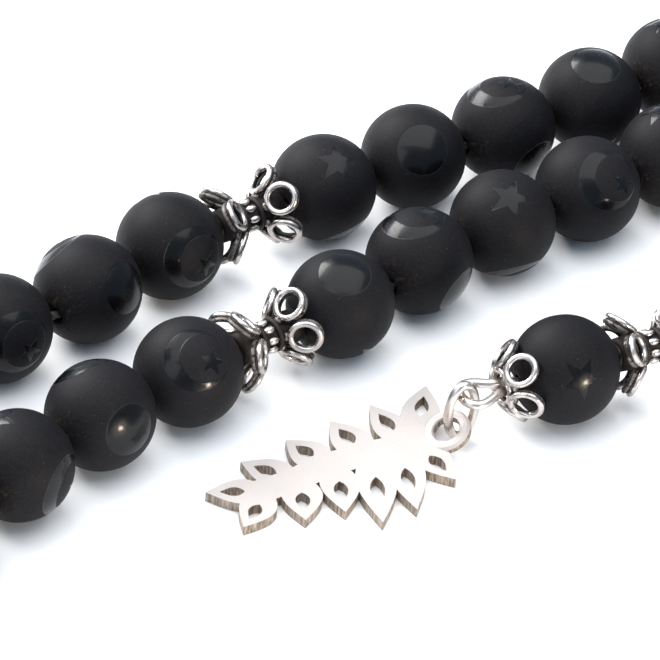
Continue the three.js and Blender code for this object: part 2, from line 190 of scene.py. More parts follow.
def onyx_material():
    """Frosted black stone; the skin is dull and the motifs in it are polished and coated."""
    material, shader = new_material("frosted_onyx", IOR=1.5, Specular_IOR_Level=0.13,
                                    Coat_Roughness=0.12, Coat_IOR=1.3)
    place = attribute(material, "bead_place", "Vector")
    shade = attribute(material, "bead_shade")
    split = material.node_tree.nodes.new("ShaderNodeSeparateXYZ")
    material.node_tree.links.new(place.socket, split.inputs[0])
    x, y, z = (Socket(material, split.outputs[i]) for i in range(3))

    # Each motif is a flat figure seen straight down one direction square to the bore.
    def facing(angle):
        """Distance out along a direction, and the two distances across it."""
        c, s = math.cos(angle), math.sin(angle)
        out = x * c + y * s
        across = y * c - x * s
        return out, across, z

    def disc(out, across, up, cx, cy, radius):
        dx, dy = across - cx, up - cy
        distance = (dx * dx + dy * dy).root()
        return distance.ramp(radius + 0.06, radius - 0.06) * out.ramp(0.0, 0.5)

    def star(out, across, up, cx, cy, radius):
        """Five points; the edge from each tip to the notch beside it is a straight line."""
        dx, dy = across - cx, up - cy
        distance = (dx * dx + dy * dy).root()
        fifth = 2 * math.pi / 5
        fold = (dy.math("ARCTAN2", dy, dx) / fifth + 10.5).part()
        bend = (fold - 0.5).size() * fifth
        notch = 0.42 * radius
        rise, run = notch * math.sin(fifth / 2), radius - notch * math.cos(fifth / 2)
        edge = radius * rise / (bend.cosine() * rise + bend.sine() * run)
        return (distance - edge).ramp(0.07, -0.07) * out.ramp(0.0, 0.5)

    first = facing(0.0)
    star_mask = star(*first, 0.0, 0.0, STAR_SIZE)
    second = facing(MOTIF_TURN)
    bitten = 1.0 - disc(*second, 0.25, 0.62, CRESCENT_BITE)
    crescent_mask = disc(*second, 0.0, 0.0, CRESCENT_SIZE) * bitten
    crescent_mask = crescent_mask.most(star(*second, 0.95, 1.05, LITTLE_STAR_SIZE))
    third = facing(2 * MOTIF_TURN)
    disc_mask = disc(*third, 0.0, 0.0, DISC_SIZE)
    polished = star_mask.most(crescent_mask).most(disc_mask)

    fine = noise(material, place, 6.0, 6.0, 0.7)
    clouds = noise(material, place, 0.55, 4.0)
    specks = noise(material, place, 4.2, 2.0, 0.8).ramp(0.66, 0.76)
    drawn_out = node(material, "ShaderNodeMapping", {}, {
        "Vector": place, "Rotation": (0.5, 0.3, 0.9), "Scale": (0.5, 9.0, 2.5)})
    scratches = noise(material, drawn_out, 1.6, 3.0).ramp(0.68, 0.76)
    dusty = z.size().ramp(3.7, 4.9) * noise(material, place, 2.2, 5.0, 0.75).ramp(0.50, 0.68)

    tone = clouds * 0.30 + fine.ramp(0.34, 0.68) * 0.50 + shade * 0.20
    colour = mix(material, tone, (0.0010, 0.0009, 0.0014), (0.0125, 0.0115, 0.0140))
    colour = mix(material, specks * 0.6, colour, (0.055, 0.052, 0.050))
    colour = mix(material, dusty * 0.55, colour, (0.070, 0.046, 0.028))
    colour = mix(material, polished, colour, (0.0028, 0.0028, 0.0034))
    rough = 0.50 + clouds * 0.09 + fine * 0.05 - scratches * 0.10
    rough = rough * (1.0 - polished) + polished * 0.13
    height = fine * 0.5 + specks * -0.9 + scratches * -0.5 + polished * -1.1
    normal = bump(material, height, 0.45, 0.00012)
    feed(material, shader, Base_Color=colour, Roughness=rough, Coat_Weight=polished * 0.45,
         Normal=normal)
    return material


onyx = onyx_material()


def turn_onto(axis):
    """A turn that takes +Z onto a direction."""
    return UP.rotation_difference(Vector(axis)).to_matrix().to_4x4()


def spun(profile, steps):
    """A closed profile of (radius, height) points, in metres, turned round Z."""
    mesh = bmesh.new()
    verts = [mesh.verts.new((radius, 0, height)) for radius, height in profile]
    edges = [mesh.edges.new((verts[i - 1], verts[i])) for i in range(len(verts))]
    bmesh.ops.spin(mesh, geom=verts + edges, axis=(0, 0, 1), cent=(0, 0, 0), angle=2 * math.pi,
                   steps=steps, use_merge=True)
    bmesh.ops.remove_doubles(mesh, verts=mesh.verts, dist=MERGE)
    bmesh.ops.recalc_face_normals(mesh, faces=mesh.faces)
    return mesh


def piece(name, mesh, materials, body, replaced=(), smooth=True):
    """Puts a finished mesh in the scene as one piece that rides on a body."""
    data = bpy.data.meshes.new(name)
    mesh.to_mesh(data)
    mesh.free()
    for material in materials if isinstance(materials, list) else [materials]:
        data.materials.append(material)
    if smooth:
        for polygon in data.polygons:
            polygon.use_smooth = True
    made = bpy.data.objects.new(name, data)
    bpy.context.scene.collection.objects.link(made)
    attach(made, body)
    if replaced:
        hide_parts(*replaced)
    return made


def middle(name):
    low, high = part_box(name)
    return (Vector(low) + Vector(high)) / 2


def bead_profile():
    """Half a ball from mouth to mouth, and the bore back through it."""
    edge = math.asin(BORE_RADIUS * MOUTH_FLARE / BEAD_RADIUS)
    outer = []
    for i in range(BEAD_RINGS + 1):
        angle = edge + (math.pi - 2 * edge) * i / BEAD_RINGS
        outer.append((BEAD_RADIUS * math.sin(angle), BEAD_RADIUS * math.cos(angle)))
    mouth = BEAD_RADIUS * math.cos(edge)
    bore = [(BORE_RADIUS * 1.06, -mouth + 0.05 * MM), (BORE_RADIUS, -mouth + 0.25 * MM),
            (BORE_RADIUS, mouth - 0.25 * MM), (BORE_RADIUS * 1.06, mouth - 0.05 * MM)]
    return outer + bore


# Which way each bead lies on the cord, as (motif, degrees below the point that faces the viewer,
# degrees off the bead's waist); motif 0 is the star, 1 the crescent, 2 the disc. The rest lie as
# they fell. Each bead takes two random draws, in the order of the sorted names: its roll, which is
# drawn even where the bead is listed, and its lightness.
ROLLED = {
    "bead_06": (0, -60, 8), "bead_07": (0, -60, 8), "bead_08": (1, 2, 8), "bead_09": (0, -25, 6),
    "bead_10": (1, -46, 0), "bead_11": (2, -30, 8), "bead_12": (1, -9, 15), "bead_13": (2, 30, 0),
    "bead_14": (0, -52, 5), "bead_15": (2, 20, 0), "bead_20": (1, 24, 0), "bead_21": (2, 30, 0),
    "bead_22": (1, 26, 2), "bead_23": (0, -15, 8), "bead_24": (2, -3, 13), "bead_25": (1, -56, 5),
    "bead_26": (2, -42, 0), "bead_27": (0, -60, 0), "tail_bead_1": (0, 13, 9),
}
ASIDE_SPREAD = 16       # degrees over which an unlisted bead may lie off its waist
SEED = 33
TOWARD_VIEWER = Vector((-0.50, -0.595, 0.63)).normalized()
VIEWER_RIGHT = Vector((0.77, -0.64, 0.0))


def bore_axis(name):
    """The way a bead's bore runs, from the joint that it turns or slides on."""
    joint = joints.get(name + "_spin") or joints[name + "_count"]
    return Vector(joint["axis"]).normalized()


random.seed(SEED)
bead_names = [name for name in frame["nodes"] if name.startswith(("bead_", "tail_bead_"))]
for name in sorted(bead_names):
    axis = bore_axis(name)
    if axis.dot(VIEWER_RIGHT) < 0:
        axis = -axis
    centre = middle(name)
    spare = random.random()
    motif, roll, aside = ROLLED.get(name, (0, 360 * spare, ASIDE_SPREAD * spare - ASIDE_SPREAD / 2))
    toward = (TOWARD_VIEWER - axis * TOWARD_VIEWER.dot(axis)).normalized()
    toward = Matrix.Rotation(math.radians(roll), 3, axis) @ toward
    toward = Matrix.Rotation(-motif * MOTIF_TURN, 3, axis) @ toward
    frame_turn = Matrix((toward, axis.cross(toward), axis)).transposed()
    mesh = spun(bead_profile(), BEAD_STEPS)
    place = mesh.verts.layers.float_vector.new("bead_place")
    shade = mesh.verts.layers.float.new("bead_shade")
    lightness = random.random()
    waist = Matrix.Rotation(motif * MOTIF_TURN, 3, "Z") @ Vector((0, 1, 0))
    slip = Matrix.Rotation(math.radians(-aside), 3, waist)
    for vert in mesh.verts:
        vert[place] = slip @ vert.co / MM
        vert[shade] = lightness
    laid = Matrix.Translation(centre) @ frame_turn.to_4x4()
    bmesh.ops.transform(mesh, verts=mesh.verts, matrix=laid)
    piece(name + "_stone", mesh, onyx, name + "_body", (name,))


# --- Flower caps and separators ----------------------------------------------------------
# Cast five-petalled caps of silver-coloured alloy, dipped in black and wiped, so that the
# recesses stay dark. Two of them back to back on a granulated waist make a separator.
PETAL_COUNT = 5
PETAL_WIRE = 0.31 * MM
UNDER_WIRE = 0.70               # the lower hoop's wire, as a part of the upper one's
BAND_HALF = 0.13 * MM
HOOP_STEPS = 36
SPREAD_LEAN = math.radians(47)  # how far a separator's petals lean
BELL_LEAN = math.radians(50)    # how far an end cap's petals fold back over the bead
SPREAD_REACH = 2.60 * MM
SPREAD_HEIGHT = 2.68 * MM
BELL_REACH = 2.62 * MM
BELL_HEIGHT = 5.30 * MM
GRAIN_COUNT = 8
GRAIN_RADIUS = 0.5 * MM
GRAIN_REACH = 1.32 * MM
RIM_LEVEL = 0.85 * MM
RIM_RADIUS = 1.40 * MM
# Turned middles as (radius, height) in millimetres.
WAIST_PROFILE = [
    (0.8, -3.4), (1.55, -3.4), (1.62, -2.2), (1.2, -1.1), (1.12, 0), (1.2, 1.1), (1.62, 2.2),
    (1.55, 3.4), (0.8, 3.4),
]
COLLAR_PROFILE = [
    (1.36, 5.9), (1.95, 5.75), (1.95, 6.1), (1.62, 6.3), (1.80, 6.42), (1.80, 6.62), (1.70, 6.7),
    (1.42, 6.7), (1.36, 6.64),
]
LEADER_CAP_PROFILE = [
    (1.30, 0.2), (2.05, 0.2), (1.95, 0.7), (1.75, 1.2), (1.72, 2.0), (1.90, 2.1), (1.90, 2.35),
    (1.80, 2.45), (1.38, 2.45), (1.30, 2.35),
]
STANDS_BETWEEN = {
    "separator_1": ("bead_11", "bead_12"), "separator_2": ("bead_22", "bead_23"),
    "tail_separator": ("tail_bead_1", "tail_bead_2"),
}


def aged_silver_material():
    """Cast silver-coloured alloy, darker where the mesh says it holds tarnish."""
    material, shader = new_material("aged_silver", IOR=1.5)
    place = object_place(material)
    tarnish = attribute(material, "tarnish")
    grime = noise(material, place, 1400.0, 5.0, 0.7)
    clouds = noise(material, place, 420.0, 3.0)
    dark = (tarnish + grime.ramp(0.50, 0.68) * 0.62).ramp(0.20, 0.78)
    bright = mix(material, clouds, (0.36, 0.325, 0.305), (0.68, 0.63, 0.60))
    colour = mix(material, dark, bright, (0.018, 0.014, 0.012))
    rough = 0.20 + clouds * 0.14 + dark * 0.34
    metal = 1.0 - dark * 0.45
    normal = bump(material, grime * 0.7 + clouds * 0.5, 0.35, 0.00006)
    feed(material, shader, Base_Color=colour, Roughness=rough, Metallic=metal, Normal=normal)
    return material


aged_silver = aged_silver_material()


def pour(target, part):
    """Moves a part's geometry into a mesh and frees the part."""
    data = bpy.data.meshes.new("part")
    part.to_mesh(data)
    part.free()
    target.from_mesh(data)
    bpy.data.meshes.remove(data)


def join_into(target, part, tarnish, matrix=None):
    """Adds a part to a silver mesh, with how dark it is; None keeps what the part says."""
    if matrix is not None:
        bmesh.ops.transform(part, verts=part.verts, matrix=matrix)
    layer = part.verts.layers.float.get("tarnish") or part.verts.layers.float.new("tarnish")
    if tarnish is not None:
        for vert in part.verts:
            vert[layer] = tarnish
    bmesh.ops.recalc_face_normals(part, faces=part.faces)
    pour(target, part)


def silver_mesh():
    mesh = bmesh.new()
    mesh.verts.layers.float.new("tarnish")
    return mesh


def turned(profile, steps):
    """A profile in millimetres, turned round Z."""
    return spun([(radius * MM, height * MM) for radius, height in profile], steps)


def ball(radius, across, round_steps):
    """A small ball."""
    mesh = bmesh.new()
    bmesh.ops.create_uvsphere(mesh, u_segments=across, v_segments=round_steps, radius=radius)
    return mesh


def hoop(half_long, half_wide, wire):
    """An oval hoop of cast wire in the XY plane, long along X."""
    radius = (half_long + half_wide) / 2
    mesh = bmesh.new()
    made = bmesh.ops.create_circle(mesh, cap_ends=False, segments=12, radius=wire)
    bmesh.ops.rotate(mesh, verts=made["verts"], cent=(0, 0, 0),
                     matrix=Matrix.Rotation(math.pi / 2, 3, "X"))
    bmesh.ops.translate(mesh, verts=made["verts"], vec=(radius, 0, 0))
    geom = mesh.verts[:] + mesh.edges[:]
    bmesh.ops.spin(mesh, geom=geom, axis=(0, 0, 1), cent=(0, 0, 0), angle=2 * math.pi,
                   steps=HOOP_STEPS, use_merge=True)
    bmesh.ops.remove_doubles(mesh, verts=mesh.verts, dist=MERGE)
    bmesh.ops.scale(mesh, verts=mesh.verts, vec=(half_long / radius, half_wide / radius, 1.0))
    return mesh


def petal(half_long, half_wide, depth):
    """Two hoops, one over the other, with a dark band between them; the finer is underneath."""
    mesh = silver_mesh()
    join_into(mesh, hoop(half_long, half_wide, PETAL_WIRE), 0.0,
              Matrix.Translation((0, 0, depth / 2)))
    join_into(mesh, hoop(half_long * 1.04, half_wide * 1.02, PETAL_WIRE * UNDER_WIRE), 0.58,
              Matrix.Translation((0, 0, -depth / 2)))
    inner, outer = half_long - BAND_HALF, half_long + BAND_HALF
    band = spun([(inner, -depth / 2), (outer, -depth / 2), (outer, depth / 2), (inner, depth / 2)],
                HOOP_STEPS)
    bmesh.ops.scale(band, verts=band.verts, vec=(1, half_wide / half_long, 1))
    join_into(mesh, band, 0.9)
    return mesh


def separator(centre, axis, name, body):
    """Two spread flowers on a dark waist with a row of grains round it."""
    mesh = silver_mesh()
    seat = (Matrix.Translation((SPREAD_REACH, 0, SPREAD_HEIGHT))
            @ Matrix.Rotation(-SPREAD_LEAN, 4, "Y"))
    upside_down = Matrix.Rotation(math.pi, 4, "X")
    for side in (1, -1):
        flip = Matrix.Identity(4) if side > 0 else Matrix.Rotation(math.pi, 4, "X")
        for i in range(PETAL_COUNT):
            around = flip @ Matrix.Rotation(2 * math.pi * i / PETAL_COUNT, 4, "Z")
            join_into(mesh, petal(1.36 * MM, 1.30 * MM, 0.56 * MM), None,
                      around @ seat @ upside_down)
            join_into(mesh, ball(0.42 * MM, 10, 8), 0.5,
                      around @ Matrix.Translation((1.42 * MM, 0, 1.45 * MM)))
    join_into(mesh, turned(WAIST_PROFILE, 32), 1.0)
    for i in range(GRAIN_COUNT):
        spot = (Matrix.Rotation(2 * math.pi * (i + 0.5) / GRAIN_COUNT, 4, "Z")
                @ Matrix.Translation((GRAIN_REACH, 0, 0)))
        join_into(mesh, ball(GRAIN_RADIUS, 14, 10), 0.0,
                  spot @ Matrix.Diagonal((0.72, 0.72, 1.2, 1.0)))
    for level in (-RIM_LEVEL, RIM_LEVEL):
        join_into(mesh, hoop(RIM_RADIUS, RIM_RADIUS, 0.24 * MM), 0.8,
                  Matrix.Translation((0, 0, level)))
    matrix = Matrix.Translation(centre) @ turn_onto(axis)
    bmesh.ops.transform(mesh, verts=mesh.verts, matrix=matrix)
    piece(name + "_silver", mesh, aged_silver, body, (name,))


for name, (before, after) in STANDS_BETWEEN.items():
    separator((middle(before) + middle(after)) / 2, joints[name + "_spin"]["axis"], name,
              name + "_body")


# --- Eye pin with its end caps -----------------------------------------------------------
# One length of half-hard silver wire, 0.9 mm thick, through the two tail beads and the separator
# between them. Each end is turned into an eye whose tail is tucked back into the collar of a
# flower cap.
WIRE_RADIUS = 0.45 * MM
tail_from = middle("tail_bead_1")
tail_to = middle("tail_bead_2")
tail_axis = (tail_to - tail_from).normalized()
across = UP.cross(tail_axis)


def bright_silver_material():
    """Drawn wire, bright with worn and dirty patches."""
    material, shader = new_material("bright_silver_wire", Metallic=1.0)
    place = object_place(material)
    wear = noise(material, place, 700.0, 4.0)
    lines = noise(material, place, 5200.0, 2.0)
    colour = mix(material, wear, (0.48, 0.43, 0.40), (0.72, 0.67, 0.63))
    dirt = noise(material, place, 260.0, 5.0, 0.7).ramp(0.60, 0.74)
    colour = mix(material, dirt * 0.55, colour, (0.20, 0.15, 0.12))
    rough = 0.20 + wear * 0.16 + dirt * 0.15
    normal = bump(material, wear * 0.6 + lines * 0.3, 0.25, 0.00005)
    feed(material, shader, Base_Color=colour, Roughness=rough, Normal=normal)
    return material


bright_silver = bright_silver_material()


def rod(points, radius, closed=False, sides=6, straight=False):
    """Round wire along a smooth line led by points, or straight from each point to the next."""
    line = bpy.data.curves.new("line", "CURVE")
    line.dimensions = "3D"
    line.bevel_depth = radius
    line.bevel_resolution = sides
    line.use_fill_caps = not closed
    line.resolution_u = 8
    spline = line.splines.new("POLY" if straight else "NURBS")
    spline.points.add(len(points) - 1)
    for target, point in zip(spline.points, points):
        target.co = (*point, 1.0)
    spline.use_cyclic_u = closed
    if not straight:
        spline.order_u = 4
        spline.use_endpoint_u = not closed
    holder = bpy.data.objects.new("line", line)
    data = bpy.data.meshes.new_from_object(holder)
    mesh = bmesh.new()
    mesh.from_mesh(data)
    bmesh.ops.remove_doubles(mesh, verts=mesh.verts, dist=WELD)
    bmesh.ops.recalc_face_normals(mesh, faces=mesh.faces)
    bpy.data.objects.remove(holder)
    bpy.data.curves.remove(line)
    bpy.data.meshes.remove(data)
    return mesh


COLLAR_TIP = 6.7 * MM
EYE_SCALE = 0.975
# The eye's wire as (distance out from the collar, distance to the side), in millimetres.
EYE_PATH = [
    (-1.0, 0.60), (-0.2, 0.60), (0.6, 0.74), (1.5, 1.22), (2.4, 1.62), (3.3, 1.50), (3.85, 0.75),
    (3.9, 0.0), (3.85, -0.75), (3.3, -1.50), (2.4, -1.62), (1.5, -1.22), (0.6, -0.74),
    (-0.2, -0.60), (-0.9, -0.60),
]


def eye_points(bead_at, outward):
    tip = bead_at + outward * COLLAR_TIP
    return [tip + outward * out * EYE_SCALE * MM + across * side * MM for out, side in EYE_PATH]


left_eye = eye_points(tail_from, -tail_axis)
right_eye = eye_points(tail_to, tail_axis)
shaft = [tail_from + tail_axis * step * MM for step in (-5.4, -4.6, 1)]
shaft += [tail_to + tail_axis * step * MM for step in (-1, 4.6, 5.4)]
piece("eye_pin_wire", rod(list(reversed(left_eye)) + shaft + right_eye, WIRE_RADIUS), bright_silver,
      "tail_link_body", ("eye_pin",))


def collar_cap(name, centre, outward, body):
    """Petals folded back over the bead from a small collar."""
    mesh = silver_mesh()
    seat = Matrix.Translation((BELL_REACH, 0, BELL_HEIGHT)) @ Matrix.Rotation(BELL_LEAN, 4, "Y")
    between = Matrix.Rotation(math.pi / PETAL_COUNT, 4, "Z")
    for i in range(PETAL_COUNT):
        around = Matrix.Rotation(2 * math.pi * (i + 0.5) / PETAL_COUNT, 4, "Z")
        join_into(mesh, petal(1.38 * MM, 1.28 * MM, 0.30 * MM), None, around @ seat)
        join_into(mesh, ball(0.34 * MM, 10, 8), 0.3,
                  around @ between @ Matrix.Translation((1.78 * MM, 0, 6.0 * MM)))
    join_into(mesh, turned(COLLAR_PROFILE, 40), 0.22)
    matrix = Matrix.Translation(centre) @ turn_onto(outward)
    bmesh.ops.transform(mesh, verts=mesh.verts, matrix=matrix)
    piece(name + "_silver", mesh, aged_silver, body, (name,))


collar_cap("tail_cap_pendant", tail_from, -tail_axis, "tail_link_body")
collar_cap("tail_cap_leader", tail_to, tail_axis, "tail_link_body")


# --- Rings -------------------------------------------------------------------------------
# Closed rings of the same wire: an oval one carries the pendant, and a round one links the
# tail to the knotted cord. Both hang free.
RING_POINTS = 28
RING_SWELL = 1.012      # the smooth line runs a little inside the points that lead it
RING_WIRE = 0.98        # the visible wire, as a part of the solid one


def standing_ring(name, body):
    """A ring on edge along the tail, as tall and as long as its solid."""
    low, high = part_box(name)
    centre = middle(name)
    tall = (high[2] - low[2]) / 2 - WIRE_RADIUS
    wide = ((high[0] - low[0]) / 2 - WIRE_RADIUS * tail_axis.x) / tail_axis.x
    wide = min(wide, tall)
    points = []
    for i in range(RING_POINTS):
        angle = 2 * math.pi * i / RING_POINTS
        points.append(centre + tail_axis * wide * RING_SWELL * math.cos(angle)
                      + UP * tall * RING_SWELL * math.sin(angle))
    piece(name + "_wire", rod(points, WIRE_RADIUS * RING_WIRE, closed=True), bright_silver, body,
          (name,))


standing_ring("pendant_ring", "pendant_ring_body")
standing_ring("linking_ring", "linking_ring_body")


# --- Leader ------------------------------------------------------------------------------
# A turned barrel of the same frosted stone that gathers both ends of the cord, closed at
# each end by a flat flower cap with a collar.
leader_centre = middle("leader")
cap_line = (middle("leader_cap_mouth") - middle("leader_cap_tail")).normalized()
LEADER_HALF = 8.0 * MM
LEADER_RADIUS = 5.5 * MM
LEADER_BORE = 1.5 * MM
LEADER_END = 3.3 * MM       # radius of each flat end
LEADER_SHOULDER = 3.4 * MM
LEADER_FULLNESS = 0.02
LEADER_CAP_LENGTH = 2.45 * MM
BARREL_STEPS = 24
barrel = [(LEADER_BORE, -LEADER_HALF), (LEADER_END, -LEADER_HALF)]
for i in range(1, BARREL_STEPS):
    along = -1 + 2 * i / BARREL_STEPS
    belly = 1 - along * along
    radius = LEADER_SHOULDER + (LEADER_RADIUS - LEADER_SHOULDER) * math.sqrt(belly)
    radius = radius * (1 - LEADER_FULLNESS * belly) + LEADER_FULLNESS * LEADER_RADIUS * belly
    barrel.append((radius, along * LEADER_HALF))
barrel += [(LEADER_END, LEADER_HALF), (LEADER_BORE, LEADER_HALF)]
mesh = spun(barrel, BEAD_STEPS)
place = mesh.verts.layers.float_vector.new("bead_place")
shade = mesh.verts.layers.float.new("bead_shade")
for vert in mesh.verts:
    vert[place] = (vert.co.x / MM * 0.9, vert.co.y / MM * 0.9, vert.co.z / MM * 0.55)
    vert[shade] = 0.4
bmesh.ops.transform(mesh, verts=mesh.verts,
                    matrix=Matrix.Translation(leader_centre) @ turn_onto(cap_line))
piece("leader_stone", mesh, onyx, "strung_leader", ("leader",))

for name, outward in (("leader_cap_tail", -cap_line), ("leader_cap_mouth", cap_line)):
    mesh = silver_mesh()
    for i in range(PETAL_COUNT):
        around = Matrix.Rotation(2 * math.pi * i / PETAL_COUNT, 4, "Z")
        join_into(mesh, hoop(1.15 * MM, 1.12 * MM, 0.26 * MM), 0.0,
                  around @ Matrix.Translation((2.25 * MM, 0, 0.55 * MM)))
        join_into(mesh, hoop(1.22 * MM, 1.18 * MM, 0.17 * MM), 0.25,
                  around @ Matrix.Translation((2.27 * MM, 0, 0.30 * MM)))
    join_into(mesh, turned(LEADER_CAP_PROFILE, 40), 0.35)
    seat = leader_centre + outward * LEADER_HALF
    matrix = Matrix.Translation(seat) @ turn_onto(outward)
    bmesh.ops.transform(mesh, verts=mesh.verts, matrix=matrix)
    piece(name + "_silver", mesh, aged_silver, "strung_leader", (name,))


# --- Stringing cord ----------------------------------------------------------------------
# Three strands of black waxed nylon laid together. The main run starts behind the leader, goes
# through it and every bead, sags to the table as bare slack after the last one, and comes back
# through the leader. The knot there, with the small bight that holds the ring, is a piece of its
# own, and the length worked out for the cord is the main run's alone.
STRAND_RADIUS = 0.235 * MM
LAY_RADIUS = 0.205 * MM
LAY_LENGTH = 2.6 * MM
CORD_SPACING = 0.30 * MM    # between the points of the even line that the strands wind round
CURVE_STEPS = 12


def nylon_material():
    """Black waxed nylon, with fine fibres and duller patches."""
    material, shader = new_material("waxed_nylon", Sheen_Weight=0.25, Sheen_Roughness=0.4)
    place = object_place(material)
    fibres = noise(material, place, 5200.0, 3.0, 0.7)
    patches = noise(material, place, 500.0, 3.0)
    colour = mix(material, fibres * 0.6 + patches * 0.4, (0.006, 0.006, 0.007), (0.032, 0.031, 0.033))
    rough = 0.46 + fibres * 0.25
    feed(material, shader, Base_Color=colour, Roughness=rough,
         Normal=bump(material, fibres, 0.5, 0.00006))
    return material


nylon = nylon_material()
PITCH = 10.1 * MM           # bead to bead
# In millimetres: from the tail cap's middle to the knot, each run off the leader's middle line, and
# the end of the straight stretch that the last bead slides on, with the points on the way there.
KNOT_GAP = 3.4
BESIDE = 0.55
STRAIGHT_RUN = 17.675
STRAIGHT_STEPS = (7.0, 10.0, 13.0, 15.5)
# The bare slack: where it goes along the table in pitches, and its height in bead radii.
STRING_ORIGIN = Vector((-1.42, 0.20, 0))    # where the middle of bead_12 lies, in pitches
SLACK = ((8.82, -3.05, 0.56), (8.35, -3.22, 0.20), (7.85, -3.13, 0.30), (7.50, -2.87, 0.80))
leader_side = UP.cross(cap_line)
knot_at = middle("leader_cap_tail") - cap_line * KNOT_GAP * MM
knot_at.z = leader_centre.z
mouth = leader_centre + cap_line * (LEADER_HALF + LEADER_CAP_LENGTH)


def leader_run(side):
    """One of the two runs side by side through the leader, from the knot to the mouth."""
    steps = [knot_at + cap_line * 0.8 * MM, leader_centre - cap_line * 9.0 * MM, leader_centre,
             leader_centre + cap_line * 9.0 * MM, mouth]
    return [step + leader_side * side * BESIDE * MM for step in steps]


route = leader_run(1)
order = ["bead_%02d" % i for i in range(1, 34)]
for index, name in enumerate(order):
    axis = bore_axis(name)
    centre = middle(name)
    route += [centre - axis * 4.6 * MM, centre - axis * 2.3 * MM, centre, centre + axis * 2.3 * MM,
              centre + axis * 4.6 * MM]
    if name in ("bead_11", "bead_22"):
        following = middle(order[index + 1])
        span = (following - centre).normalized()
        length = (following - centre).length
        route += [centre + span * (length / 2 + step * MM) for step in (-2.4, 0.0, 2.4)]
last_axis = bore_axis("bead_33")
last_at = middle("bead_33")
route += [last_at + last_axis * step * MM for step in STRAIGHT_STEPS]
route.append(last_at + last_axis * STRAIGHT_RUN * MM)
string_from = middle("bead_12") - STRING_ORIGIN * PITCH
for x, y, z in SLACK:
    route.append(Vector((string_from.x + x * PITCH, string_from.y + y * PITCH, z * BEAD_RADIUS)))
route += list(reversed(leader_run(-1)))


def smooth_line(points, spacing):
    """Evenly spaced points on the smooth curve through a list of points."""
    fine = []
    for i in range(len(points) - 1):
        before = points[max(i - 1, 0)]
        start, end = points[i], points[i + 1]
        after = points[min(i + 2, len(points) - 1)]
        for step in range(CURVE_STEPS):
            t = step / CURVE_STEPS
            leave = (end - before) * 0.5
            arrive = (after - start) * 0.5
            scale = (end - start).length
            leave = leave.normalized() * scale
            arrive = arrive.normalized() * scale
            fine.append(start * (2 * t**3 - 3 * t**2 + 1) + leave * (t**3 - 2 * t**2 + t)
                        + end * (-2 * t**3 + 3 * t**2) + arrive * (t**3 - t**2))
    fine.append(points[-1])
    even = [fine[0]]
    carried = 0.0
    for start, end in zip(fine, fine[1:]):
        length = (end - start).length
        while carried + length >= spacing:
            start = start + (end - start) * ((spacing - carried) / length)
            length = (end - start).length
            carried = 0.0
            even.append(start)
        carried += length
    return even


def laid_cord(points):
    """Three strands twisted round a line."""
    line = smooth_line(points, CORD_SPACING)
    mesh = bmesh.new()
    for strand in range(3):
        helix = []
        for i, point in enumerate(line):
            ahead = line[min(i + 1, len(line) - 1)] - line[max(i - 1, 0)]
            side = UP.cross(ahead).normalized()
            over = ahead.normalized().cross(side)
            angle = 2 * math.pi * (i * CORD_SPACING / LAY_LENGTH + strand / 3)
            helix.append(point + side * LAY_RADIUS * math.cos(angle)
                         + over * LAY_RADIUS * math.sin(angle))
        pour(mesh, rod(helix, STRAND_RADIUS, sides=2, straight=True))
    return mesh


cord_line = smooth_line(route, CORD_SPACING)
cord_length = sum((after - before).length for before, after in zip(cord_line, cord_line[1:]))
strung = piece("stringing_cord_nylon", laid_cord(route), nylon, "strung_leader",
               ("stringing_cord",))

# The bight is an open oval that leaves the knot and comes back to it; the knot is a trefoil.
BIGHT_POINTS = 15
BIGHT_REACH = 2.1 * MM
BIGHT_HALF_WIDTH = 1.45     # in millimetres
KNOT_POINTS = 48
knot_mesh = bmesh.new()
loop = []
for i in range(BIGHT_POINTS):
    angle = math.pi * (0.10 + 1.80 * i / (BIGHT_POINTS - 1))
    loop.append(knot_at - cap_line * BIGHT_REACH + cap_line * BIGHT_REACH * math.cos(angle)
                + leader_side * BIGHT_HALF_WIDTH * MM * math.sin(angle))
tie = []
for i in range(KNOT_POINTS):
    angle = 2 * math.pi * i / KNOT_POINTS
    tie.append(knot_at + cap_line * (math.sin(angle) + 2 * math.sin(2 * angle)) * 0.28 * MM
               + leader_side * (math.cos(angle) - 2 * math.cos(2 * angle)) * 0.36 * MM
               + UP * -math.sin(3 * angle) * 0.55 * MM)
tie.append(tie[0])
for extra in ([knot_at] + loop + [knot_at], tie):
    pour(knot_mesh, laid_cord(extra))
knot = piece("stringing_cord_knot", knot_mesh, nylon, "strung_leader", ("stringing_cord",))


# --- Pendant -----------------------------------------------------------------------------
# A plate of silver-coloured metal a millimetre thick, sawn through into a leafy vine. Its
# face is satin, its sawn edges are darker and striated, and its lug is bent up for the ring.
PLATE = 1.0 * MM
LUG_TILT = math.radians(27)
LUG_OUTER = 2.25 * MM
LUG_INNER = 1.25 * MM
EYE_LENGTH = 3.7 * MM       # how far the wire eye stands out of its collar
EYE_OVERLAP = 0.4 * MM      # how far the lug's hole lies inside the eye's end
PENDANT_TURN = math.radians(-7.1)
RIM_BEVEL = 0.035 * MM
STEM_STEPS = 32
STEM_RIPPLE = 0.10
